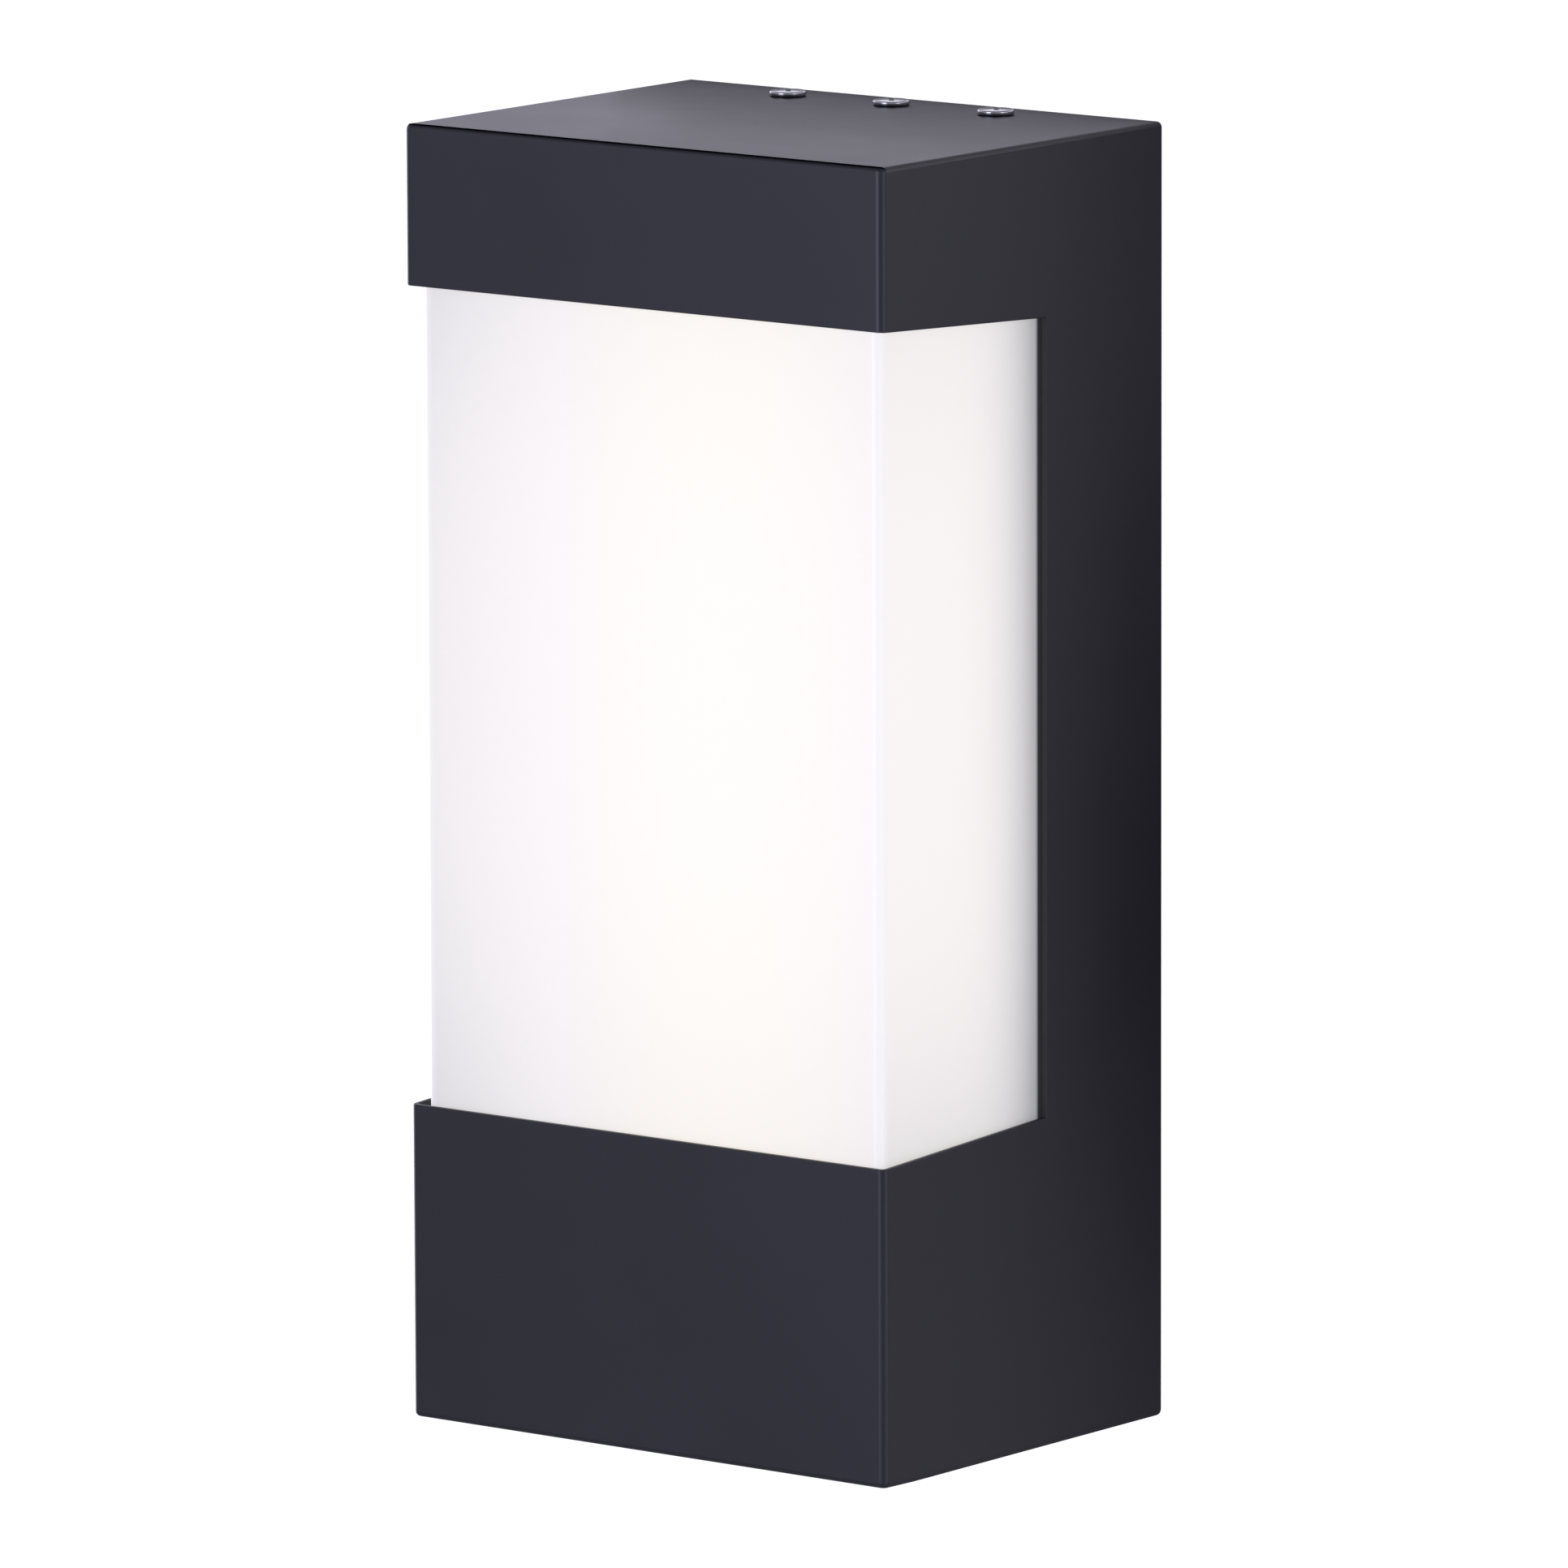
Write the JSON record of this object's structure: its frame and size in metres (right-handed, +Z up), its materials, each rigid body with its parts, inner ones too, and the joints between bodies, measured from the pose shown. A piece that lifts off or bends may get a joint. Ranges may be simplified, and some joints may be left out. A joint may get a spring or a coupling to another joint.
{
  "type": "outdoor wall lantern",
  "caption": "Box-shaped outdoor wall lantern: black C-shaped folded housing around a lit opal diffuser box, fixed to a wall plate from above.",
  "frame": {"origin": "centre of the rear face that rests on the wall, which is the back of the wall gasket", "axes": "+X to the right seen from the front, -Y out of the front, +Y into the wall, +Z up"},
  "size_m": [0.128, 0.098, 0.2814],
  "materials": {
    "black_coat": "satin black powder coat",
    "opal": "opal white diffusing plastic, lit from inside",
    "foam": "black closed-cell foam",
    "white_steel": "white painted steel",
    "bright_steel": "bright stainless steel",
    "brass": "plain brass",
    "board_white": "white board coating",
    "driver_plastic": "moulded light grey plastic",
    "block_plastic": "natural moulded nylon",
    "rubber": "black rubber",
    "red_lead": "red lead insulation",
    "black_lead": "black lead insulation",
    "white_lead": "white lead insulation",
    "green_lead": "green lead insulation",
    "zinc_steel": "zinc plated steel"
  },
  "bodies": {
    "lantern": {"housing_wrap": "black_coat", "top_plate": "black_coat", "bottom_plate": "black_coat", "diffuser": "opal", "rim_gasket": "foam", "upper_foam_strip": "foam", "lower_foam_strip": "foam", "chassis": "white_steel", "weld_stud_upper_left": "zinc_steel", "weld_stud_lower_left": "zinc_steel", "weld_stud_upper_right": "zinc_steel", "weld_stud_lower_right": "zinc_steel", "stud_nut_upper_left": "zinc_steel", "stud_nut_lower_left": "zinc_steel", "stud_nut_upper_right": "zinc_steel", "stud_nut_lower_right": "zinc_steel", "led_board": "board_white", "board_screw_lower_left": "zinc_steel", "board_screw_upper_left": "zinc_steel", "board_screw_lower_right": "zinc_steel", "board_screw_upper_right": "zinc_steel", "led_connector": "board_white", "driver_case": "driver_plastic", "driver_lid": "driver_plastic", "driver_screw_left": "zinc_steel", "driver_screw_right": "zinc_steel", "flange_nut_left": "zinc_steel", "flange_nut_middle": "zinc_steel", "flange_nut_right": "zinc_steel", "wall_plate": "zinc_steel", "wall_gasket": "foam", "cable_grommet": "rubber", "terminal_block": "block_plastic", "clamp_screw_live": "brass", "clamp_screw_neutral": "brass", "clamp_screw_earth": "brass", "terminal_block_screw": "zinc_steel", "earth_lug": "zinc_steel", "earth_screw": "brass", "lead_grommet_board": "rubber", "lead_grommet_output": "rubber", "lead_grommet_input": "rubber", "board_lead_red": "red_lead", "board_lead_black": "black_lead", "driver_lead_black": "black_lead", "driver_lead_white": "white_lead", "earth_lead": "green_lead"},
    "top_screw_left_body": {"top_screw_left": "bright_steel"},
    "top_screw_middle_body": {"top_screw_middle": "bright_steel"},
    "top_screw_right_body": {"top_screw_right": "bright_steel"}
  },
  "joints": [
    {"name": "left_screw_lift", "type": "slide", "parent": "lantern", "child": "top_screw_left_body", "axis": [0, 0, 1], "range_m": [0, 0.012]},
    {"name": "middle_screw_lift", "type": "slide", "parent": "lantern", "child": "top_screw_middle_body", "axis": [0, 0, 1], "range_m": [0, 0.012]},
    {"name": "right_screw_lift", "type": "slide", "parent": "lantern", "child": "top_screw_right_body", "axis": [0, 0, 1], "range_m": [0, 0.012]}
  ]
}
